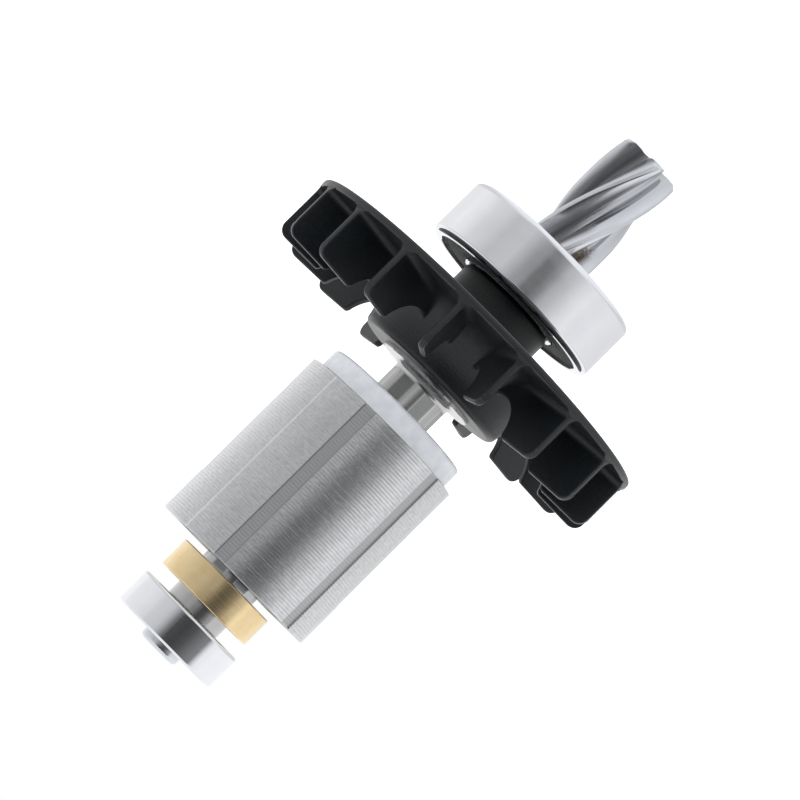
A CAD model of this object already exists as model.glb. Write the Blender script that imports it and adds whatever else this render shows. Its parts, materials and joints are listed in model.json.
# %% [markdown]
# # The rotor of a small brushless motor
# A rotor is the part of a motor that turns. This one is a steel shaft with a helical pinion cut on its
# end. A ball bearing, a black fan, a core of thin steel sheets with magnets inside, a brass balance
# ring and a second, smaller ball bearing sit along it.
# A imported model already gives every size, place and moving body. This file makes what the eye sees
# around it: finer meshes, their finishes, the light and the camera.

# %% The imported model
import json
import math

import bmesh
import bpy
from mathutils import Matrix, Vector
from mathutils.geometry import tessellate_polygon

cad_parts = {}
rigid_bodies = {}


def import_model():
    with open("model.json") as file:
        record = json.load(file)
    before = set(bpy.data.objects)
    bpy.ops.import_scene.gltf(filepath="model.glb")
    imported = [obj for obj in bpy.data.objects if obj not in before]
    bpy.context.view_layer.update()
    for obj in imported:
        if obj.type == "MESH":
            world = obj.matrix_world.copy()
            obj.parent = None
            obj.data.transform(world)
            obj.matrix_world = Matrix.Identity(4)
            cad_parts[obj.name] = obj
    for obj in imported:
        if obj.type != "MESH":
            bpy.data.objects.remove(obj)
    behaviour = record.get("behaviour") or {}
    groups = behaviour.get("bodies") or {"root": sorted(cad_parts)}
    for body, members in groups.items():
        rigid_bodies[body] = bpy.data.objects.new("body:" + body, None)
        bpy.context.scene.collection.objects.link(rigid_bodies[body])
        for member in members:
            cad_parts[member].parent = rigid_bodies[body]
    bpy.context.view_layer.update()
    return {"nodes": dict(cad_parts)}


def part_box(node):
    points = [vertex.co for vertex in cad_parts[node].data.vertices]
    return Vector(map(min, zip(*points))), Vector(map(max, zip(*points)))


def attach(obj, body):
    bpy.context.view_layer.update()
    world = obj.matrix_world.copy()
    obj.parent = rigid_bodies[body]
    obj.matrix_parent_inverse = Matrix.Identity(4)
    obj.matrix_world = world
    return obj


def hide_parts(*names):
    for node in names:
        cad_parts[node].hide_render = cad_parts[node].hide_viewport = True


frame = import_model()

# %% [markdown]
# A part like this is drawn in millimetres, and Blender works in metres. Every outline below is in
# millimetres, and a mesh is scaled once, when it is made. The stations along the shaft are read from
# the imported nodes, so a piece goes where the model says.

MM = 0.001


def span(node):
    """Outer radius, lowest z and highest z of a node, in millimetres."""
    low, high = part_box(node)
    return (high.x - low.x) / 2 / MM, low.z / MM, high.z / MM


fan_r, fan_low, fan_high = span("fan")
plate_r, plate_low, plate_high = span("end_plate")
core_r, core_low, core_high = span("lamination_stack")
brass_r, brass_low, brass_high = span("balance_ring")
shaft_end = span("shaft")[2]
front_r, front_low, front_high = span("front_outer_ring")
rear_r, rear_low, rear_high = span("rear_outer_ring")
print(f"shaft {shaft_end:.1f} mm long, fan {2 * fan_r:.1f} mm, core {2 * core_r:.1f} mm across")

# %% [markdown]
# ## Meshes
# Nearly every piece here is turned on a lathe or moulded round, so one helper turns an outline about
# Z. An outline is a list of (radius, height) points. Its rounded corners are real arcs of points,
# because a highlight runs along a small radius and never along a perfectly sharp edge. Shading is
# smoothed from point to point, so a flat face between two round edges would shade as if it bulged.
# A point close to each end of every long straight run holds it flat.

# %% Outlines


def arc(x, y, radius, start, end, steps):
    """Points on a circle about (x, y), from one angle to the other, in degrees."""
    angles = [math.radians(start + (end - start) * i / steps) for i in range(steps + 1)]
    return [(x + radius * math.cos(a), y + radius * math.sin(a)) for a in angles]


def rounded_outline(low_r, high_r, low_z, high_z, radius, steps):
    """Rectangle with four round corners, for a ring."""
    corners = [
        (high_r - radius, low_z + radius, -90),
        (high_r - radius, high_z - radius, 0),
        (low_r + radius, high_z - radius, 90),
        (low_r + radius, low_z + radius, 180),
    ]
    return [p for x, y, a in corners for p in arc(x, y, radius, a, a + 90, steps)]


def even_turns(count):
    """Angles of a full turn in equal steps."""
    return [math.tau * i / count for i in range(count)]


HOLD = 0.05


def held(outline):
    """A closed outline with a point near each end of its long straight runs, to keep them flat."""
    found = []
    for (x0, y0), (x1, y1) in zip(outline, outline[1:] + outline[:1]):
        found.append((x0, y0))
        length = math.hypot(x1 - x0, y1 - y0)
        if length > 8 * HOLD:
            share = HOLD / length
            found += [(x0 + (x1 - x0) * t, y0 + (y1 - y0) * t) for t in (share, 1 - share)]
    return found


# %% [markdown]
# from_pydata makes a mesh from plain lists. Doubled points at a pole are merged, the faces are turned
# outwards, and edges sharper than a limit are marked sharp, so flat faces stay flat and round ones
# shade smoothly without a modifier.

# %% From lists to objects
SHARP_EDGE = math.radians(35)


def make_piece(name, points, faces):
    """An object in metres from points in millimetres, closed and facing outwards."""
    mesh = bpy.data.meshes.new(name)
    mesh.from_pydata([Vector(p) * MM for p in points], [], faces)
    shape = bmesh.new()
    shape.from_mesh(mesh)
    bmesh.ops.remove_doubles(shape, verts=shape.verts, dist=1e-7)
    bmesh.ops.recalc_face_normals(shape, faces=shape.faces)
    shape.to_mesh(mesh)
    shape.free()
    mesh.polygons.foreach_set("use_smooth", [True] * len(mesh.polygons))
    mesh.set_sharp_from_angle(angle=SHARP_EDGE)
    piece = bpy.data.objects.new(name, mesh)
    bpy.context.collection.objects.link(piece)
    return piece


def bridge(rings, closed_loop):
    """Faces between rings of equally many points; closed_loop also joins the last ring to the first."""
    count, turns = len(rings[0]), len(rings) if closed_loop else len(rings) - 1
    faces = []
    for i in range(turns):
        here, there = i * count, (i + 1) % len(rings) * count
        for j in range(count):
            k = (j + 1) % count
            faces.append((here + j, here + k, there + k, there + j))
    return [p for ring in rings for p in ring], faces


def turned_piece(name, outline, segments=192):
    """A closed outline of (radius, height) turned about Z."""
    line = held(outline)
    rings = [[(r * math.cos(a), r * math.sin(a), z) for r, z in line] for a in even_turns(segments)]
    return make_piece(name, *bridge(rings, True))


def join(name, parts):
    """One object from several closed shells."""
    points, faces = [], []
    for part_points, part_faces in parts:
        faces += [tuple(i + len(points) for i in face) for face in part_faces]
        points += part_points
    return make_piece(name, points, faces)


# %% [markdown]
# ## Node trees
# Shader maths reads badly as a list of nodes and links. Here a socket is wrapped in a small class that
# knows how to add and multiply, so a pattern can be written as a sum. Every other node comes from one
# method, which sets the node's settings first and then its sockets.

# %% Sockets that take part in sums


class Value:
    """An output socket. Each sum with it adds the Math node that works the sum out."""

    def __init__(self, nodes, socket):
        self.nodes, self.socket = nodes, socket

    def __add__(self, other):
        return self.nodes.sum("ADD", self, other)

    def __mul__(self, other):
        return self.nodes.sum("MULTIPLY", self, other)

    def __sub__(self, other):
        return self.nodes.sum("SUBTRACT", self, other)

    def __rsub__(self, other):
        return self.nodes.sum("SUBTRACT", other, self)

    __radd__, __rmul__ = __add__, __mul__


class Nodes:
    """A node tree with one method that makes nodes."""

    def __init__(self, tree):
        self.tree = tree
        tree.nodes.clear()

    def node(self, kind, settings=None, sockets=None):
        """Adds a node. A socket is given by name or number, and takes a number, a colour or a Value."""
        made = self.tree.nodes.new(kind)
        for name, setting in (settings or {}).items():
            if name == "stops":
                self.lay_stops(made.color_ramp.elements, setting)
            else:
                setattr(made, name, setting)
        for name, given in (sockets or {}).items():
            if isinstance(given, Value):
                self.tree.links.new(given.socket, made.inputs[name])
            else:
                made.inputs[name].default_value = given
        return made

    def lay_stops(self, elements, stops):
        """Stops of a colour ramp, as (position, grey or colour)."""
        while len(elements) < len(stops):
            elements.new(1.0)
        for element, (position, tone) in zip(elements, stops):
            element.position = position
            element.color = (*tone, 1) if isinstance(tone, tuple) else (tone, tone, tone, 1)

    def value(self, kind, settings=None, sockets=None, output=0):
        """The output of a new node, ready for sums."""
        return Value(self, self.node(kind, settings, sockets).outputs[output])

    def sum(self, operation, first, second):
        return self.value("ShaderNodeMath", {"operation": operation}, {0: first, 1: second})

    def step(self, given, low, high):
        """0 below low, 1 above high, and a smooth rise between."""
        smooth = {"interpolation_type": "SMOOTHSTEP"}
        return self.value("ShaderNodeMapRange", smooth, {"Value": given, "From Min": low, "From Max": high})

    def fade(self, given, low, high):
        """1 below low, 0 above high, and a smooth fall between."""
        return 1 - self.step(given, low, high)

    def mix(self, factor, first, second):
        """Blend of two colours."""
        return self.value("ShaderNodeMix", {"data_type": "RGBA"}, {0: factor, 6: first, 7: second}, 2)


# %% [markdown]
# A finish is a Principled shader, a few noise patterns in object coordinates and a bump. The patterns
# are counted in waves per millimetre on each axis: many waves along Z and few around it give the fine
# rings that a lathe or a grinding wheel leaves.

# %% A finish


def rgb(red, green, blue):
    return (red, green, blue, 1)


class Finish(Nodes):
    """A procedural material."""

    def __init__(self, name):
        self.material = bpy.data.materials.new(name)
        self.material.use_nodes = True
        super().__init__(self.material.node_tree)
        self.place = self.value("ShaderNodeTexCoord", output="Object")
        parts = self.node("ShaderNodeSeparateXYZ", None, {"Vector": self.place})
        x, y, z = (Value(self, parts.outputs[i]) * (1 / MM) for i in range(3))
        self.radius = self.sum("SQRT", x * x + y * y, 0)
        self.east, self.north, self.height = x, y, z

    def noise(self, waves, detail=2, contrast=1):
        """Noise from 0 to 1 with so many waves per millimetre along X, Y and Z."""
        waves = waves if isinstance(waves, tuple) else (waves,) * 3
        scaled = self.value(
            "ShaderNodeVectorMath",
            {"operation": "MULTIPLY"},
            {0: self.place, 1: [w / MM for w in waves]},
        )
        cloud = self.value(
            "ShaderNodeTexNoise", None, {"Vector": scaled, "Scale": 1.0, "Detail": detail}
        )
        return self.step(cloud, 0.5 - 0.3 / contrast, 0.5 + 0.3 / contrast)

    def sideways(self, east, north):
        """Distance from the axis along one level direction."""
        return self.east * east + self.north * north

    def layers(self, tone, *marks):
        """A tone with others laid over it, each by its mask."""
        for mask, mark in marks:
            tone = self.mix(mask, tone, mark)
        return tone

    def bump(self, height, depth):
        """Relief of that depth in millimetres."""
        return self.value("ShaderNodeBump", None, {"Height": height, "Strength": 1.0, "Distance": depth * MM})

    def shade(self, color, roughness, height=None, depth=0.01, **more):
        """Closes the tree with a Principled shader."""
        sockets = {"Base Color": color, "Roughness": roughness, **more}
        if height is not None:
            sockets["Normal"] = self.bump(height, depth)
        shader = self.value("ShaderNodeBsdfPrincipled", None, sockets)
        self.node("ShaderNodeOutputMaterial", None, {"Surface": shader})
        return self.material


# %% [markdown]
# ## Metals
# The shaft and the rings of the bearings are ground, so they mirror the studio in long soft streaks.
# The core's sheets are stamped and lie edge on, which scatters the light more. The brass ring is
# turned more coarsely. Metal has no colour of its own besides its reflection, so its base colour is
# that of a mirror.

# %% Ground steel of the bearings
race_chrome = Finish("race_chrome")
ground_lines = race_chrome.noise((0.1, 0.1, 12), 3)
race_cloud = race_chrome.noise(0.3, 3)
race_steel = race_chrome.shade(
    race_chrome.mix(race_cloud, rgb(0.85, 0.865, 0.905), rgb(0.89, 0.905, 0.945)),
    0.03 + 0.02 * race_cloud + 0.03 * ground_lines,
    Metallic=1.0,
)
print(f"{race_steel.name}: {len(race_steel.node_tree.nodes)} nodes")

# %% [markdown]
# The bar of the shaft is not equally clean all along. The gaps between the pinion's teeth are duller
# than the teeth. Dirt has settled in them on one side, and on the other grease has crept out of the
# front bearing. Past the fan the bar is oily, and the bottoms of its flats are darker than the
# ridges. Each of these is a mask from 0 to 1, made from the radius, the height or the side of the bar,
# and its tone is laid over the tones before it. Dirt and grease are no metal, so they lower Metallic.

# %% Steel of the shaft
# Each pair but DIRTY_SIDE, a direction, says where a mask starts and ends, in millimetres
GAP_RADII = (4.4, 5.6)
FOOT_RADII = (3.3, 5.0)
FLAT_RADII = (5.14, 5.24)
DIRTY_SIDE = (0.74, -0.67)
DIRT_EDGE = (1.9, 2.7)
GREASE_EDGE = (1.1, 1.8)

bar_steel = Finish("bar_steel")
bar_lines = bar_steel.noise((0.1, 0.1, 9), 3)
bar_cloud = bar_steel.noise(0.3, 3)
speckle = bar_steel.noise(2.5, 3)
bar_r, bar_z, side = bar_steel.radius, bar_steel.height, bar_steel.sideways(*DIRTY_SIDE)
in_gap = bar_steel.fade(bar_r, *GAP_RADII) * bar_steel.fade(bar_z, front_low - 0.3, front_low - 0.1)
dirt = in_gap * bar_steel.step(side, *DIRT_EDGE)
grease = in_gap * bar_steel.fade(bar_r, *FOOT_RADII) * bar_steel.fade(side, *GREASE_EDGE)
grease = grease * bar_steel.step(bar_z + 2 * speckle, front_low - 4.6, front_low - 1.6)
oil = bar_steel.step(bar_z, fan_high - 2.2, fan_high - 1.2)
oil = oil * bar_steel.fade(bar_z, shaft_end - 2, shaft_end - 1)
on_flat = oil * bar_steel.fade(bar_r, *FLAT_RADII)
on_flat = on_flat * bar_steel.fade(bar_z, brass_low - 0.7, brass_low + 0.3)
shaft_steel = bar_steel.shade(
    bar_steel.layers(
        bar_steel.mix(bar_cloud, rgb(0.68, 0.7, 0.74), rgb(0.76, 0.78, 0.82)),
        (oil, rgb(0.57, 0.57, 0.57)),
        (on_flat, rgb(0.28, 0.29, 0.29)),
        (in_gap, rgb(0.6, 0.61, 0.64)),
        (dirt, rgb(0.17, 0.172, 0.182)),
        (grease, rgb(0.1, 0.075, 0.05)),
    ),
    0.11 + 0.05 * bar_cloud + 0.04 * bar_lines + 0.4 * grease,
    bar_lines,
    0.0003,
    Metallic=1 - grease - 0.7 * dirt * (1 - grease),
)
print(f"{shaft_steel.name}: {len(shaft_steel.node_tree.nodes)} nodes")

# %% [markdown]
# The rim of the core is bright where it was turned to size. The walls and the floors of its grooves
# were left as stamped and are duller, and the radius alone tells them apart. A thin bright line runs
# along the core on two opposite sides.

# %% Edges of the stamped sheets
LINE_SIDE = (0.72, 0.694)
LINE_EDGE = (0.12, 0.3)

sheet_steel = Finish("sheet_steel")
grain = sheet_steel.noise((1.1, 1.1, 3), 3)
patches = sheet_steel.noise((0.2, 0.2, 0.12), 2)
groove_wall = sheet_steel.fade(sheet_steel.radius, core_r - 0.13, core_r - 0.03)
groove_floor = sheet_steel.fade(sheet_steel.radius, core_r - 0.29, core_r - 0.24)
from_line = sheet_steel.sum("ABSOLUTE", sheet_steel.sideways(*LINE_SIDE), 0)
bright_line = 0.6 * sheet_steel.fade(from_line, *LINE_EDGE)
core_steel = sheet_steel.shade(
    sheet_steel.layers(
        sheet_steel.mix(grain, rgb(0.71, 0.72, 0.74), rgb(0.83, 0.84, 0.86)),
        (bright_line, rgb(1, 1, 1)),
        (groove_wall, rgb(0.4, 0.4, 0.41)),
        (groove_floor, rgb(0.56, 0.57, 0.58)),
    ),
    0.19 + 0.05 * patches + 0.14 * groove_wall,
    grain,
    0.002,
    Metallic=1.0,
)
print(f"{core_steel.name}: {len(core_steel.node_tree.nodes)} nodes")

# %% Turned brass
turned_brass = Finish("turned_brass")
tool_lines = turned_brass.noise((0.05, 0.05, 5), 3)
tarnish = turned_brass.noise(0.5, 3)
brass = turned_brass.shade(
    turned_brass.mix(tarnish, rgb(0.97, 0.73, 0.4), rgb(1.0, 0.82, 0.5)),
    0.14 + 0.06 * tool_lines,
    tool_lines,
    0.0006,
    Metallic=1.0,
)
print(f"{brass.name}: {len(brass.node_tree.nodes)} nodes")

# %% [markdown]
# ## Plastics and rubber
# The fan is moulded in black plastic filled with glass fibre: nearly black, satin, and faintly
# speckled where fibres show. Its rim and the free edges of its blades are rubbed a little paler by
# handling. Two masks find them by their radius and height, the second one only past the hub, which is
# where the blades are. The end plate is a bluish white moulding. The seals of the bearings are grey
# rubber with a mottled face.

# %% Mouldings
PAST_HUB = (20, 22)
fan_plastic = Finish("fan_plastic")
fibres = fan_plastic.noise(5.0, 4, 2)
flow = fan_plastic.noise(0.16, 2)
at_rim = fan_plastic.step(fan_plastic.radius, fan_r - 0.6, fan_r - 0.2)
past_hub = fan_plastic.step(fan_plastic.radius, *PAST_HUB)
free_edges = past_hub * fan_plastic.step(fan_plastic.height, fan_high - 0.35, fan_high - 0.2)
rubbed = fan_plastic.sum("MAXIMUM", at_rim, free_edges)
deep_black = fan_plastic.mix(fibres, rgb(0.005, 0.0065, 0.008), rgb(0.014, 0.017, 0.02))
black_nylon = fan_plastic.shade(
    fan_plastic.mix(rubbed, deep_black, rgb(0.018, 0.02, 0.023)),
    0.28 + 0.08 * flow,
    fibres,
    0.004,
    **{"Specular IOR Level": 0.36},
)

white_moulding = Finish("white_moulding")
smudges = white_moulding.noise(0.45, 4, 1.5)
end_plastic = white_moulding.shade(
    white_moulding.mix(smudges, rgb(0.76, 0.78, 0.83), rgb(0.87, 0.89, 0.93)),
    0.42 + 0.1 * smudges,
    smudges,
    0.01,
)

seal_rubber = Finish("seal_rubber")
mottle = seal_rubber.noise(1.6, 4, 1.6)
rubber = seal_rubber.shade(
    seal_rubber.mix(mottle, rgb(0.2, 0.2, 0.2), rgb(0.48, 0.47, 0.47)),
    0.42 + 0.14 * mottle,
    mottle,
    0.012,
)

# %% Hidden parts of the bearings and the core
cage_nylon = Finish("cage_nylon")
fleck = cage_nylon.noise(2.0, 3)
cage_tone = cage_nylon.mix(fleck, rgb(0.3, 0.18, 0.08), rgb(0.42, 0.27, 0.13))
cage_plastic = cage_nylon.shade(cage_tone, 0.45 + 0.1 * fleck, fleck, 0.005)

ball_chrome = Finish("ball_chrome")
haze = ball_chrome.noise(0.8, 2)
ball_tone = ball_chrome.mix(haze, rgb(0.8, 0.8, 0.82), rgb(0.88, 0.88, 0.9))
ball_steel = ball_chrome.shade(ball_tone, 0.06 + 0.04 * haze, Metallic=1.0)

magnet_plating = Finish("magnet_plating")
stain = magnet_plating.noise(0.7, 3)
magnet_tone = magnet_plating.mix(stain, rgb(0.24, 0.24, 0.25), rgb(0.4, 0.4, 0.41))
magnet_skin = magnet_plating.shade(magnet_tone, 0.34 + 0.14 * stain, stain, 0.004, Metallic=1.0)
print(f"{len(bpy.data.materials)} materials")

# %% [markdown]
# A finished piece rides on its body, stands for the nodes whose place it takes, and names the
# material slot of the record that its finish belongs to. Balls, cages and magnets are good as they
# are packed, and only get a finish.

# %% Putting a piece in its place


def dress(piece, material):
    """Makes a material the only one of a piece."""
    piece.data.materials.clear()
    piece.data.materials.append(material)


def settle(piece, material, body, slot, *nodes):
    """Gives a finished mesh its material, body, slot and the nodes it stands for."""
    dress(piece, material)
    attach(piece, body)
    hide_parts(*nodes)
    piece.data.calc_loop_triangles()
    print(f"{piece.name}: {len(piece.data.loop_triangles)} triangles")


# %% [markdown]
# ## The shaft
# One bar of steel, turned in steps: the journal of the front bearing and the fan, a shoulder, a long
# stretch with shallow flats that grip the core, the seat of the balance ring and the thin end. Flats
# could be cut with a boolean, but a turned mesh can carry them itself: where the bar has flats, each
# point of a ring moves in to the flat's plane. The ring's angles are spaced so that they fall exactly
# on the flats' edges.

# %% Angles of a ring that carries flats
FLATS = 7
FIRST_FLAT = 296.7
FLUTED_R = 5.25
FLAT_DEPTH = 0.2
FLAT_MARGIN = 0.2
flat_pitch = 360 / FLATS
flat_half = math.degrees(math.acos(1 - FLAT_DEPTH / FLUTED_R))


def fluted_angles():
    """Angles of a ring, in radians, with the angle from the nearest flat's middle."""
    across = [flat_half * i / 6 for i in range(-6, 7)]
    ridge = [flat_half + (flat_pitch - 2 * flat_half) * i / 8 for i in range(1, 8)]
    found = []
    for k in range(FLATS):
        middle = FIRST_FLAT + k * flat_pitch
        found += [(math.radians(middle + a), math.radians(a)) for a in across]
        found += [(math.radians(middle + a), None) for a in ridge]
    return found


ring_angles = fluted_angles()
print(f"{FLATS} flats, each {2 * flat_half:.1f} degrees wide, on rings of {len(ring_angles)} points")

# %% [markdown]
# The profile of the bar follows, from the pinion to the far end. Each entry has a radius and a height,
# and says whether the ring carries flats. Edges have a break of a tenth of a millimetre, as turned
# edges do.

# %% The turned bar
PINION_LEN = 20.3
JOURNAL_R = 6.0
SHOULDER_R = 8.7
SHOULDER_T = 1.1
SHOULDER_SINK = 0.5
SHOULDER_FILLET = 1.05
RING_SEAT_R = 5.0
TAIL_R = 3.5
TAIL_ROUND = 0.7
CENTRE_MOUTH_R = 1.3
CENTRE_HOLE_R = 0.6
CENTRE_DEPTH = 2.6
EDGE_BREAK = 0.12
centre_cone = (CENTRE_MOUTH_R - CENTRE_HOLE_R) * math.sqrt(3)

shoulder_low = fan_high - SHOULDER_SINK
shoulder_high = shoulder_low + SHOULDER_T
fillet_end = shoulder_high + SHOULDER_FILLET
profile = [
    (0, PINION_LEN), (JOURNAL_R - EDGE_BREAK, PINION_LEN), (JOURNAL_R, PINION_LEN + EDGE_BREAK),
    (JOURNAL_R, shoulder_low), (SHOULDER_R - EDGE_BREAK, shoulder_low),
    (SHOULDER_R, shoulder_low + EDGE_BREAK), (SHOULDER_R, shoulder_high - EDGE_BREAK),
    (SHOULDER_R - EDGE_BREAK, shoulder_high),
]
profile += arc(FLUTED_R + SHOULDER_FILLET, fillet_end, SHOULDER_FILLET, 270, 180, 8)
profile += [(FLUTED_R, fillet_end + FLAT_MARGIN)]
fluted_from = len(profile)
profile += [(FLUTED_R, fillet_end + FLAT_MARGIN), (FLUTED_R, brass_low - FLAT_MARGIN)]
fluted_to = len(profile)
profile += [
    (FLUTED_R, brass_low - FLAT_MARGIN), (FLUTED_R, brass_low), (RING_SEAT_R, brass_low),
    (RING_SEAT_R, rear_low - EDGE_BREAK), (RING_SEAT_R - EDGE_BREAK, rear_low), (TAIL_R, rear_low),
    (TAIL_R, shaft_end - TAIL_ROUND - HOLD),
]
profile += arc(TAIL_R - TAIL_ROUND, shaft_end - TAIL_ROUND, TAIL_ROUND, 0, 90, 6)
profile += [
    (CENTRE_MOUTH_R, shaft_end), (CENTRE_HOLE_R, shaft_end - centre_cone),
    (CENTRE_HOLE_R, shaft_end - CENTRE_DEPTH), (0, shaft_end - CENTRE_DEPTH),
]


def bar_ring(index, radius, height):
    """One ring of the bar, with the flats where it carries them."""
    ring = []
    for angle, from_flat in ring_angles:
        r = radius
        if from_flat is not None and fluted_from <= index < fluted_to:
            r = (FLUTED_R - FLAT_DEPTH) / math.cos(from_flat)
        ring.append((r * math.cos(angle), r * math.sin(angle), height))
    return ring


bar = bridge([bar_ring(i, r, z) for i, (r, z) in enumerate(profile)], False)
print(f"bar: {len(profile)} rings")

# %% [markdown]
# ## The pinion
# A gear's flank is an involute: the line that the end of a string draws as it unwinds from a circle.
# One tooth and one gap are worked out as a radius for each angle, repeated for the five teeth, and
# turned a little further at every step along the axis, which makes the helix. The points follow the
# teeth, so the edges of the teeth are real edges of the mesh. Near the free end the radius is limited
# by a cone, which is the bevel. The toothed end sinks a little into the turned bar, and the two closed
# shells make one piece.

# %% The toothed section
TEETH = 5
MODULE = 1.5
HELIX = 17
PRESSURE = 20
TOOTH_THICKNESS = 2.95
ADDENDUM = 1.82
DEDENDUM = 1.0
FIRST_TOOTH = 36.4
TOOTH_BEVEL = 0.6
ROOT_FILLET = 0.45
LAND_BREAK = 0.1

pitch_r = TEETH * MODULE / math.cos(math.radians(HELIX)) / 2
tip_r = pitch_r + ADDENDUM
root_r = pitch_r - DEDENDUM
lead = math.tau * pitch_r / math.tan(math.radians(HELIX))
slope = math.atan(math.tan(math.radians(PRESSURE)) / math.cos(math.radians(HELIX)))
base_r = pitch_r * math.cos(slope)


def involute(angle):
    return math.tan(angle) - angle


def half_tooth(radius):
    """Half the angle of a tooth at a radius, in radians."""
    at_radius = math.acos(min(1, base_r / max(radius, base_r)))
    return TOOTH_THICKNESS / 2 / pitch_r + involute(slope) - involute(at_radius)


def half_outline():
    """(radius, angle from the tooth's middle) from the middle of the gap to the middle of the tip."""
    gap_half = math.pi / TEETH
    foot = [(root_r, gap_half * (1 - i / 4) + half_tooth(base_r) * 1.25 * i / 4) for i in range(4)]
    curve = arc(0, 0, ROOT_FILLET, 270, 180, 6)
    fillet = [
        (root_r + ROOT_FILLET + y, half_tooth(base_r) + (ROOT_FILLET + x) / root_r) for x, y in curve
    ]
    flank = [base_r + (tip_r - LAND_BREAK - base_r) * i / 10 for i in range(11)]
    tip = half_tooth(tip_r)
    land = [(tip_r, tip - LAND_BREAK / tip_r / 2), (tip_r, tip / 2)]
    return foot + fillet + [(r, half_tooth(r)) for r in flank] + land + [(tip_r, 0)]


half = half_outline()
tooth = [(r, -a) for r, a in half] + [(r, a) for r, a in reversed(half[:-1])]
section = [(r, a + math.tau * k / TEETH) for k in range(TEETH) for r, a in tooth[:-1]]
print(f"pinion: {TEETH} teeth, tip {2 * tip_r:.2f} mm, root {2 * root_r:.2f} mm, lead {lead:.1f} mm")

# %% The helical sweep
TEETH_SINK = 0.15
TWIST_STEPS = 56
toothed_len = PINION_LEN + TEETH_SINK
heights = [TOOTH_BEVEL * i / 4 for i in range(4)]
heights += [TOOTH_BEVEL + (toothed_len - TOOTH_BEVEL) * i / TWIST_STEPS for i in range(TWIST_STEPS + 1)]


def pinion_ring(height):
    """The toothed section at a height, turned by the helix and cut back by the bevel."""
    turn = math.radians(FIRST_TOOTH) + math.tau * height / lead
    bevel_r = tip_r - TOOTH_BEVEL + height
    ring = [(min(r, bevel_r), turn + a) for r, a in section]
    return [(r * math.cos(a), r * math.sin(a), height) for r, a in ring]


def round_ring(radius, height, turn_height=0):
    """A round ring with as many points as the teeth have, each below its point of the section."""
    turn = math.radians(FIRST_TOOTH) + math.tau * turn_height / lead
    return [(radius * math.cos(turn + a), radius * math.sin(turn + a), height) for _, a in section]


rings = [
    round_ring(0, CENTRE_DEPTH), round_ring(CENTRE_HOLE_R, CENTRE_DEPTH),
    round_ring(CENTRE_HOLE_R, centre_cone), round_ring(CENTRE_MOUTH_R, 0),
]
rings += [pinion_ring(z) for z in heights]
rings += [round_ring(0, toothed_len, toothed_len)]
teeth = bridge(rings, False)

shaft = join("shaft_finish", [bar, teeth])
settle(shaft, shaft_steel, "rotor", "ground_steel", "shaft")

# %% [markdown]
# ## The fan
# The fan is one moulding: a thin rim plate, a bell-shaped hub that flares into it, a collar that
# keeps it off the bearing and seventeen straight blades. Its body is round and is turned from an
# outline. The outline below goes once round the section: bore, collar, cored underside, rim, flare,
# hub and the seat of the shaft's shoulder.

# %% The body of the fan
FAN_BORE_R = 6.02
COLLAR_R = 8.45
COLLAR_LEN = 6.5
COLLAR_ROUND = 0.5
RIM_T = 1.2
RIM_ROUND = 0.4
FLARE_R = 10
HUB_R = 13.3
HUB_ROUND = 1
HUB_WALL = 2
HUB_FLOOR = 2.5
SHOULDER_SEAT_R = 8.72
SEAT_BREAK = 0.15

rim_low = fan_low + COLLAR_LEN
rim_high = rim_low + RIM_T
flare_x, flare_z = HUB_R + FLARE_R, rim_high + FLARE_R
round_z = fan_high - HUB_ROUND
round_x = flare_x - math.sqrt((FLARE_R + HUB_ROUND) ** 2 - (flare_z - round_z) ** 2)
meet = math.degrees(math.atan2(round_z - flare_z, round_x - flare_x)) + 360
core_top = fan_high - HUB_FLOOR
wall_r = FLARE_R + HUB_WALL
wall_start = math.degrees(math.acos(-math.sqrt(wall_r**2 - (core_top - flare_z) ** 2) / wall_r))
wall_end = math.degrees(math.acos(-math.sqrt(wall_r**2 - (rim_low - flare_z) ** 2) / wall_r))

outline = [(FAN_BORE_R, fan_low)]
outline += arc(COLLAR_R - COLLAR_ROUND, fan_low + COLLAR_ROUND, COLLAR_ROUND, -90, 0, 6)
outline += [(COLLAR_R, core_top)]
outline += arc(flare_x, flare_z, wall_r, 360 - wall_start, 360 - wall_end, 16)
outline += arc(fan_r - RIM_ROUND, rim_low + RIM_ROUND, RIM_ROUND, -90, 0, 5)
outline += arc(fan_r - RIM_ROUND, rim_high - RIM_ROUND, RIM_ROUND, 0, 90, 5)
outline += arc(flare_x, flare_z, FLARE_R, 270, meet, 22)
outline += arc(round_x, round_z, HUB_ROUND, meet - 180, 90, 10)
outline += [
    (SHOULDER_SEAT_R + SEAT_BREAK, fan_high), (SHOULDER_SEAT_R, fan_high - SEAT_BREAK),
    (SHOULDER_SEAT_R, shoulder_low), (FAN_BORE_R, shoulder_low),
]
fan_body = turned_piece("fan_body", outline, 224)
print(f"fan body: outline of {len(outline)} points, hub round at {round_x:.2f}, {round_z:.2f} mm")

# %% [markdown]
# A blade is a thin wall that stands on the plate on two concave fillets and whose free edge dips into
# a scoop beside the hub. It is made as a row of sections, each a little further from the axis. The
# height of the free edge at each section comes from the scoop's circle and from the rounded corner.
# The last two sections are squeezed, which rounds the blade's outer end.

# %% One blade
BLADES = 17
FIRST_BLADE = 278
BLADE_T = 1.1
BLADE_FILLET = 1.5
BLADE_DEPTH = 10.45
BLADE_LIP = 0.1
BLADE_CORNER = 1.7
SCOOP_R = 7
SCOOP_X = 17.1
SCOOP_LIFT = 1.65
SCOOP_FILLET = 2.3
SCOOP_BITE = 0.12
SCOOP_LIP = [(6.93, -0.12), (7.15, 0)]
EDGE_ROUND = 0.28
EDGE_HOLD = 0.08
BLADE_END = [(-0.08, -0.3, 0.06), (0, -0.6, 0.2)]

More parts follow.
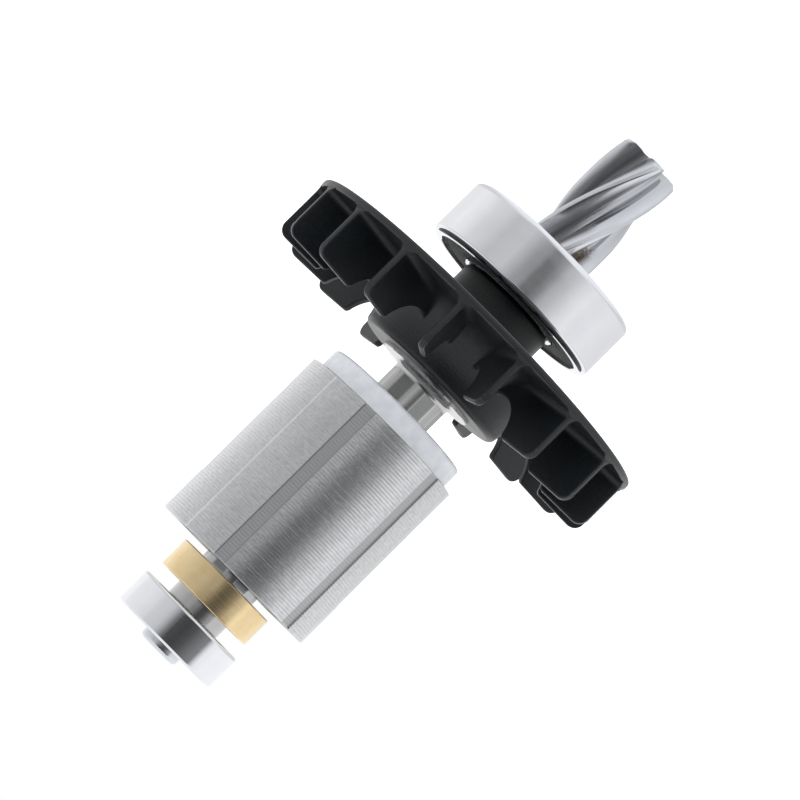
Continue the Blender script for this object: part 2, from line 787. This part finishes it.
blade_r = fan_r - BLADE_LIP
free_z = rim_low + BLADE_DEPTH
scoop_z = free_z + SCOOP_LIFT
blade_base = rim_low + RIM_T / 2
scoop_end = math.degrees(math.asin(-SCOOP_LIFT / SCOOP_R))

fillet_z = scoop_z - SCOOP_R + SCOOP_FILLET
fillet_x = flare_x - math.sqrt((FLARE_R + SCOOP_BITE - SCOOP_FILLET) ** 2 - (flare_z - fillet_z) ** 2)
free_edge = [(HUB_R - HUB_WALL / 2, fillet_z - SCOOP_FILLET / 2)]
free_edge += arc(fillet_x, fillet_z, SCOOP_FILLET, 210, 270, 6)
free_edge += arc(SCOOP_X, scoop_z, SCOOP_R, -90, scoop_end - 3, 14)
free_edge += [(SCOOP_X + x, free_z + z) for x, z in SCOOP_LIP] + [(27, free_z)]
free_edge += arc(blade_r - BLADE_CORNER, free_z - BLADE_CORNER, BLADE_CORNER, 90, 8, 8)


def blade_section(x, top, squeeze=0):
    """Section of a blade across its thickness, at a distance x from the axis."""
    half_t, foot = BLADE_T / 2 - squeeze, BLADE_T / 2 + BLADE_FILLET
    side = [(foot, blade_base), (foot, rim_high)]
    side += arc(foot, rim_high + BLADE_FILLET, BLADE_FILLET, 270, 180, 7)
    side = [(y - squeeze, z) for y, z in side]
    side += [(half_t, rim_high + BLADE_FILLET + EDGE_HOLD), (half_t, top - EDGE_ROUND - EDGE_HOLD)]
    side += arc(half_t - EDGE_ROUND, top - EDGE_ROUND, EDGE_ROUND, 0, 90, 4)
    return [(x, y, z) for y, z in side] + [(x, -y, z) for y, z in reversed(side)]


stations = [blade_section(x, z) for x, z in free_edge]
end_z = free_edge[-1][1]
stations += [blade_section(blade_r + x, end_z + z, squeeze) for x, z, squeeze in BLADE_END]
blade_points, blade_faces = bridge(stations, False)
ring_size = len(stations[0])
blade_faces += [tuple(range(ring_size)), tuple(range(len(blade_points) - ring_size, len(blade_points)))]
blades = make_piece("fan_blades", blade_points, blade_faces)
print(f"blade: {len(stations)} sections of {ring_size} points")

# %% [markdown]
# ## Copies in a row or a ring
# Blades stand in a ring, and the sheets of the core lie in a stack. Both are copies that turn or rise
# by a fixed step, so one Geometry Nodes tree serves both. It puts a point for each copy, sets the
# mesh on every point, makes the copies real and gives them their material. The random size of a copy,
# from a fixed seed, keeps sheets from being too perfect.

# %% The tree of copies


def copies_tree():
    """Geometry Nodes that repeat a mesh by a turn and a rise."""
    tree = bpy.data.node_groups.new("copies", "GeometryNodeTree")
    inputs = [
        ("Geometry", "Geometry"), ("Count", "Int"), ("First turn", "Float"), ("Turn each", "Float"),
        ("Rise each", "Float"), ("Spread", "Float"), ("Seed", "Int"), ("Finish", "Material"),
    ]
    for name, kind in inputs:
        tree.interface.new_socket(name, in_out="INPUT", socket_type="NodeSocket" + kind)
    tree.interface.new_socket("Geometry", in_out="OUTPUT", socket_type="NodeSocketGeometry")
    nodes = Nodes(tree)
    given = nodes.node("NodeGroupInput")
    asked = {name: Value(nodes, given.outputs[name]) for name, _ in inputs}
    index = nodes.value("GeometryNodeInputIndex")
    lift = nodes.value("ShaderNodeCombineXYZ", None, {"Z": index * asked["Rise each"]})
    turn = nodes.value("ShaderNodeCombineXYZ", None, {"Z": asked["First turn"] + index * asked["Turn each"]})
    size = nodes.value(
        "FunctionNodeRandomValue",
        {"data_type": "FLOAT"},
        {2: 1 - asked["Spread"], 3: 1 + asked["Spread"], "Seed": asked["Seed"]},
        1,
    )
    scale = nodes.value("ShaderNodeCombineXYZ", None, {"X": size, "Y": size, "Z": 1.0})
    points = nodes.value("GeometryNodePoints", None, {"Count": asked["Count"], "Position": lift})
    spread_out = nodes.value(
        "GeometryNodeInstanceOnPoints",
        None,
        {"Points": points, "Instance": asked["Geometry"], "Rotation": turn, "Scale": scale},
    )
    real = nodes.value("GeometryNodeRealizeInstances", None, {"Geometry": spread_out})
    finished = nodes.value("GeometryNodeSetMaterial", None, {"Geometry": real, "Material": asked["Finish"]})
    nodes.node("NodeGroupOutput", None, {"Geometry": finished})
    return tree


copies = copies_tree()


def repeat(piece, **asked):
    """Repeats a piece with the tree and makes the result its plain mesh."""
    modifier = piece.modifiers.new("copies", "NODES")
    modifier.node_group = copies
    sockets = {item.name: item.identifier for item in copies.interface.items_tree if item.in_out == "INPUT"}
    for name, given in asked.items():
        modifier[sockets[name.replace("_", " ")]] = given
    bpy.context.view_layer.update()
    evaluated = piece.evaluated_get(bpy.context.evaluated_depsgraph_get())
    baked = bpy.data.meshes.new_from_object(evaluated)
    piece.modifiers.clear()
    piece.data = baked


# %% The ring of blades
repeat(
    blades, Count=BLADES, First_turn=math.radians(FIRST_BLADE), Turn_each=math.tau / BLADES,
    Finish=black_nylon,
)
settle(fan_body, black_nylon, "rotor", "fan_black", "fan")
settle(blades, black_nylon, "rotor", "fan_black", "fan")

# %% [markdown]
# ## The core
# Sixty-three stamped sheets make the core. Each is a plain disc with four shallow grooves in its
# rim, two beside one pole and two beside the opposite one, a slot for each magnet and a bore. A solid
# cylinder with painted lines would look the same from afar, but the thin gaps between real sheets
# catch light and shade as one moves round. One sheet is made here with slightly broken edges, and the
# same tree stacks it.

# %% One sheet
SHEETS = 63
POLES = 4
FIRST_POLE = 252.2
GROOVE_SPREAD = 30.4
GROOVE_W = 2.3
GROOVE_FLOOR = 1.9
GROOVE_DEPTH = 0.3
SLOT_LOW, SLOT_HIGH, SLOT_HALF = 7.9, 10.5, 6.83
CORE_BORE_R = 5.27
SHEET_BREAK = 0.055
SHEET_GAP = 0.004
RIM_STEP = 2.5
sheet_pitch = (core_high - core_low) / SHEETS
sheet_t = sheet_pitch - SHEET_GAP
groove_low_r = core_r - GROOVE_DEPTH
groove_half = math.asin(GROOVE_W / 2 / core_r)
pole_middles = [FIRST_POLE + k * 360 / POLES for k in range(POLES)]
groove_middles = [math.radians(m + side * GROOVE_SPREAD) for m in pole_middles[::2] for side in (-1, 1)]


def groove_corners(middle):
    """(radius, angle) of the four corners of a groove, whose walls slope in towards its floor."""
    corners = [
        (core_r, -GROOVE_W), (groove_low_r, -GROOVE_FLOOR),
        (groove_low_r, GROOVE_FLOOR), (core_r, GROOVE_W),
    ]
    return [(r, middle + math.asin(width / 2 / r)) for r, width in corners]


def sheet_rim(shrink):
    """Outline of a sheet, with its grooves, drawn in by a shrink."""
    rim = []
    following = groove_middles[1:] + [groove_middles[0] + math.tau]
    for middle, next_middle in zip(groove_middles, following):
        rim += groove_corners(middle)
        start, end = middle + groove_half, next_middle - groove_half
        steps = round(math.degrees(end - start) / RIM_STEP)
        rim += [(core_r, start + (end - start) * i / steps) for i in range(1, steps)]
    return [((r - shrink) * math.cos(a), (r - shrink) * math.sin(a)) for r, a in rim]


def slot_corners(middle):
    """Corners of the slot of the magnet in a pole."""
    turn = Matrix.Rotation(math.radians(middle), 2)
    corners = [(SLOT_LOW, -SLOT_HALF), (SLOT_HIGH, -SLOT_HALF), (SLOT_HIGH, SLOT_HALF), (SLOT_LOW, SLOT_HALF)]
    return [tuple(turn @ Vector(c)) for c in corners]


bore = [(CORE_BORE_R * math.cos(a), CORE_BORE_R * math.sin(a)) for a in even_turns(40)]
holes = [bore] + [slot_corners(middle) for middle in pole_middles]


def sheet_mesh():
    """Walls and both faces of one sheet."""
    levels = [(SHEET_BREAK, 0), (0, SHEET_BREAK), (0, sheet_t - SHEET_BREAK), (SHEET_BREAK, sheet_t)]
    low_z = core_low + SHEET_GAP / 2
    points, faces = bridge([[(x, y, low_z + z) for x, y in sheet_rim(inset)] for inset, z in levels], False)
    count = len(points) // len(levels)
    low_loops = [range(count)]
    high_loops = [range(len(points) - count, len(points))]
    for hole in holes:
        start, middle = len(points), len(points) + len(hole)
        sides, side_faces = bridge([[(x, y, low_z + z) for x, y in hole] for z in (0, sheet_t)], False)
        faces += [tuple(i + start for i in face) for face in side_faces]
        points += sides
        low_loops.append(range(start, middle))
        high_loops.append(range(middle, len(points)))
    for loops in (low_loops, high_loops):
        flat = [[Vector((*points[i][:2], 0)) for i in loop] for loop in loops]
        order = [i for loop in loops for i in loop]
        faces += [tuple(order[i] for i in triangle) for triangle in tessellate_polygon(flat)]
    return points, faces


core = make_piece("core_sheets", *sheet_mesh())
repeat(core, Count=SHEETS, Rise_each=sheet_pitch * MM, Spread=0.0007, Seed=4, Finish=core_steel)
settle(core, core_steel, "rotor", "core_steel", "lamination_stack")
for pole in range(1, POLES + 1):
    dress(frame["nodes"][f"magnet_{pole}"], magnet_skin)
print(f"core: {SHEETS} sheets, {sheet_t:.3f} mm thick each")

# %% [markdown]
# ## End plate and balance ring
# Both are simple turned rings, and their interest is in their edges: the plate's free edge is well
# rounded, and the brass ring has a fine break on both sides.

# %% Two rings
PLATE_ROUND = 0.6
plate_outline = [(CORE_BORE_R, plate_low)]
plate_outline += arc(plate_r - PLATE_ROUND, plate_low + PLATE_ROUND, PLATE_ROUND, -90, 0, 8)
plate_outline += [(plate_r, plate_high), (CORE_BORE_R, plate_high)]
plate = turned_piece("end_plate_moulding", plate_outline)
settle(plate, end_plastic, "rotor", "end_plate_white", "end_plate")

BRASS_BREAK = 0.2
BRASS_BORE_R = 5.02
brass_outline = rounded_outline(BRASS_BORE_R, brass_r, brass_low, brass_high, BRASS_BREAK, 3)
ring = turned_piece("balance_ring_turned", brass_outline)
settle(ring, brass, "rotor", "brass", "balance_ring")

# %% [markdown]
# ## Ball bearings
# A sealed ball bearing shows two rings and, between them, a thin rubber seal on each side. The outer
# ring's edges are well rounded, because it is pushed into a housing. The races inside are real
# grooves, and the seals have a raised bead where they snap into the ring and another at the lip.

# %% Rings and seals of a bearing
RACE_GAP = 0.05
SEAL_SEAT = 0.7
FACE_BREAK = 0.1
LAND_EDGE = 0.15
BORE_ROUND = 0.3
LIP_GAP = 0.15
SEAL_GAP = 0.02


def bearing(end, low, high, bore_r, outer_r, pitch_r, ball_r, land, seat_r, edge):
    """Makes both rings of a bearing, and gives the inner and the outer radius of its seals."""
    middle = (low + high) / 2
    inner_r, land_r = pitch_r - land / 2, pitch_r + land / 2
    race_r = ball_r + RACE_GAP
    reach = math.degrees(math.acos(land / 2 / race_r))
    outer = arc(outer_r - edge, low + edge, edge, -90, 0, 8)
    outer += arc(outer_r - edge, high - edge, edge, 0, 90, 8)
    outer += [
        (seat_r + FACE_BREAK, high), (seat_r, high - FACE_BREAK), (seat_r, high - SEAL_SEAT),
        (land_r, high - SEAL_SEAT), *arc(pitch_r, middle, race_r, reach, -reach, 14),
        (land_r, low + SEAL_SEAT), (seat_r, low + SEAL_SEAT), (seat_r, low + FACE_BREAK),
        (seat_r + FACE_BREAK, low),
    ]
    round_x = bore_r + SEAL_GAP + BORE_ROUND
    inner = [(round_x, low), (inner_r - LAND_EDGE, low), (inner_r, low + LAND_EDGE)]
    inner += arc(pitch_r, middle, race_r, 180 - reach, 180 + reach, 14)
    inner += [(inner_r, high - LAND_EDGE), (inner_r - LAND_EDGE, high)]
    inner += arc(round_x, high - BORE_ROUND, BORE_ROUND, 90, 180, 4)
    inner += arc(round_x, low + BORE_ROUND, BORE_ROUND, 180, 270, 4)[:-1]
    outer_ring = turned_piece(f"{end}_outer_ring_ground", outer, 224)
    settle(outer_ring, race_steel, f"{end}_outer", "bearing_steel", f"{end}_outer_ring")
    inner_ring = turned_piece(f"{end}_inner_ring_ground", inner, 160)
    settle(inner_ring, race_steel, "rotor", "bearing_steel", f"{end}_inner_ring")
    return inner_r + LIP_GAP, seat_r - SEAL_GAP


def seal(name, node, body, radii, face, inward):
    """A rubber seal with raised beads; inward is 1 or -1, the way into the bearing along Z."""
    lip_r, bead_r = radii
    wide = (bead_r - lip_r) / 5
    depths = [
        (lip_r, 0.36), (lip_r + 0.12, 0.27), (lip_r + wide * 0.9, 0.25), (lip_r + wide * 1.1, 0.34),
        (bead_r - wide * 0.9, 0.34), (bead_r - wide * 0.7, 0.25), (bead_r - 0.1, 0.25), (bead_r, 0.33),
        (bead_r, SEAL_SEAT), (lip_r, SEAL_SEAT),
    ]
    piece = turned_piece(name, [(r, face + inward * d) for r, d in depths], 160)
    settle(piece, rubber, body, "seal_rubber", node)


# %% Front bearing
radii = bearing(
    "front", front_low, front_high, bore_r=6, outer_r=front_r, pitch_r=11, ball_r=3,
    land=3.8, seat_r=14.1, edge=0.9,
)
seal("front_seal_outside", "front_seal_pinion_side", "front_outer", radii, front_low, 1)
seal("front_seal_inside", "front_seal_fan_side", "front_outer", radii, front_high, -1)

# %% Rear bearing
radii = bearing(
    "rear", rear_low, rear_high, bore_r=3.5, outer_r=rear_r, pitch_r=6.5, ball_r=1.75,
    land=2.2, seat_r=8.3, edge=0.5,
)
seal("rear_seal_inside", "rear_seal_core_side", "rear_outer", radii, rear_low, 1)
seal("rear_seal_outside", "rear_seal_end_side", "rear_outer", radii, rear_high, -1)

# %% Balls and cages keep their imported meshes
for end in ("front", "rear"):
    for part, material in [("balls", ball_steel), ("cage", cage_plastic)]:
        dress(frame["nodes"][f"{end}_{part}"], material)
        print(f"{end}_{part}: packed mesh in {material.name}")

# %% [markdown]
# ## Floor
# The rotor stands on the end of its pinion, on a pale lit floor, like a light table. The floor glows, so
# that no hard shadow gathers under the fan. It is left out of reflections, where the studio's panels do
# the work.

# %% A lit floor
floor_finish = Finish("lit_floor")
dust = floor_finish.noise(0.02, 2)
floor_white = floor_finish.shade(
    floor_finish.mix(dust, rgb(0.86, 0.86, 0.86), rgb(0.9, 0.9, 0.9)), 0.8,
    **{"Emission Color": rgb(1, 1, 1), "Emission Strength": 0.9},
)
FLOOR_HALF, FLOOR_T = 3000, 5
corners = [(x * FLOOR_HALF, y * FLOOR_HALF) for x, y in [(-1, -1), (1, -1), (1, 1), (-1, 1)]]
floor = make_piece(
    "floor",
    [(x, y, z) for z in (0, -FLOOR_T) for x, y in corners],
    [(0, 1, 2, 3), (7, 6, 5, 4), (0, 4, 5, 1), (1, 5, 6, 2), (2, 6, 7, 3), (3, 7, 4, 0)],
)
dress(floor, floor_white)
floor.visible_glossy = False
print(f"floor: {2 * FLOOR_HALF * MM:.0f} m square")

# %% [markdown]
# ## Light
# Polished cylinders are only as good as what they reflect. The studio is a ring of soft white panels
# with one dark opening, where the camera looks in. It is written as the brightness of the world for
# each direction: an angle round the axis, read from a ramp, and a height above the horizon. There are
# four belts, one below the other, because each part along the shaft mirrors its own belt. The dark
# opening is darkest at the horizon and paler lower down. High above and far below, the light is plain.
# What the camera sees directly is white.

# %% The studio's panels
SKY = {
    "rear bearing": [
        (-180, 1.0), (-137, 0.99), (-121, 0.87), (-89, 0.84), (-66, 0.75), (-56, 0.66), (-40, 0.62),
        (-32, 0.58), (-24, 0.42), (-16, 0.2), (-8, 0.06), (8, 0.055), (16, 0.07), (24, 0.085), (34, 0.13),
        (48, 0.19), (58, 0.23), (65, 0.65), (71, 0.88), (89, 0.98), (180, 1.0),
    ],
    "core": [
        (-170, 0.8), (-150, 0.93), (-129, 0.8), (-113, 0.63), (-97, 0.46), (-65, 0.33), (-48, 0.255),
        (-38, 0.32), (-28, 0.38), (-16, 0.6), (-8, 0.85), (0, 0.52), (8, 0.2), (15, 0.085), (25, 0.083),
        (33, 0.22), (41, 0.5), (49, 0.97), (56, 1.0), (73, 1.0), (82, 0.67), (97, 0.61), (113, 0.66),
        (129, 0.77), (145, 0.69), (165, 0.83),
    ],
    "front bearing": [
        (-180, 0.85), (-137, 0.88), (-121, 0.93), (-105, 0.86), (-89, 0.72), (-73, 0.65), (-57, 0.54),
        (-34, 0.59), (-24, 0.45), (-16, 0.33), (-7, 0.27), (-1, 0.15), (8, 0.145), (16, 0.23), (24, 0.42),
        (33, 0.52), (49, 0.75), (61, 0.86), (73, 0.82), (97, 0.87), (137, 0.8), (180, 0.78),
    ],
    "pinion": [
        (-180, 0.75), (-110, 0.7), (-80, 0.74), (-54, 0.8), (-36, 0.62), (-20, 0.54), (0, 0.68),
        (22, 0.88), (60, 0.78), (120, 0.7), (180, 0.75),
    ],
}
# Elevation in degrees at which a belt takes over from the one above, from and to
BELTS = [("core", -0.65, -0.95), ("front bearing", -4.4, -6.2), ("pinion", -7.6, -8.4)]
PLAIN_BEYOND = (26, 44)

world = bpy.data.worlds.new("studio")
bpy.context.scene.world = world
world.use_nodes = True
sky = Nodes(world.node_tree)
direction = sky.value("ShaderNodeTexCoord", output="Generated")
parts = sky.node("ShaderNodeSeparateXYZ", None, {"Vector": direction})
east, north, up = (Value(sky, parts.outputs[i]) for i in range(3))
around = sky.sum("ARCTAN2", 0 - east, 0 - north) * (180 / math.pi)
height = sky.sum("ARCSINE", up, 0) * (180 / math.pi)
place = (around + 180) * (1 / 360)


def panel_ramp(stops):
    """Brightness of the panels round the axis."""
    laid = [((angle + 180) / 360, tone) for angle, tone in stops]
    return sky.value("ShaderNodeValToRGB", {"stops": laid}, {"Fac": place})


panels = panel_ramp(SKY["rear bearing"])
for name, start, end in BELTS:
    panels = sky.mix(sky.step(height, start, end), panels, panel_ramp(SKY[name]))
overhead = sky.step(sky.sum("ABSOLUTE", height, 0), *PLAIN_BEYOND)
studio = sky.mix(overhead, panels, rgb(0.92, 0.93, 0.95))
seen = sky.value("ShaderNodeLightPath", output="Is Camera Ray")
shown = sky.mix(seen, studio, rgb(1, 1, 1))
light = sky.value("ShaderNodeBackground", None, {"Color": shown, "Strength": 1.0})
sky.node("ShaderNodeOutputWorld", None, {"Surface": light})
print(f"studio: {len(SKY)} belts of light, {sum(len(stops) for stops in SKY.values())} stops")

# %% [markdown]
# ## Camera
# The rotor was put down slantwise before a camera with a long lens, so there is little perspective.
# The camera looks across the shaft from a little above the horizon and is rolled over, which lays the
# shaft from lower left to upper right.

# %% The camera
AIM = Vector((0.97, 0, 52.55)) * MM
DISTANCE = 574 * MM
HEIGHT_ANGLE = math.radians(4.4)
SLANT = math.radians(44.7)
FOCAL_LENGTH = 171
SENSOR_WIDTH = 36
back = Vector((0, -math.cos(HEIGHT_ANGLE), math.sin(HEIGHT_ANGLE)))
along = -(Vector((0, 0, 1)) - back * back.z).normalized()
across = Vector((-1, 0, 0))
right = along * math.cos(SLANT) + across * math.sin(SLANT)
up_side = along * math.sin(SLANT) - across * math.cos(SLANT)

lens = bpy.data.cameras.new("long_lens")
lens.lens = FOCAL_LENGTH
lens.sensor_width = SENSOR_WIDTH
camera = bpy.data.objects.new("camera", lens)
bpy.context.collection.objects.link(camera)
turned = Matrix((right, up_side, back)).transposed().to_4x4()
camera.matrix_world = Matrix.Translation(AIM + back * DISTANCE) @ turned
bpy.context.scene.camera = camera
bpy.context.scene.view_settings.view_transform = "Standard"
print(f"camera {DISTANCE:.3f} m away, with a {FOCAL_LENGTH} mm lens")
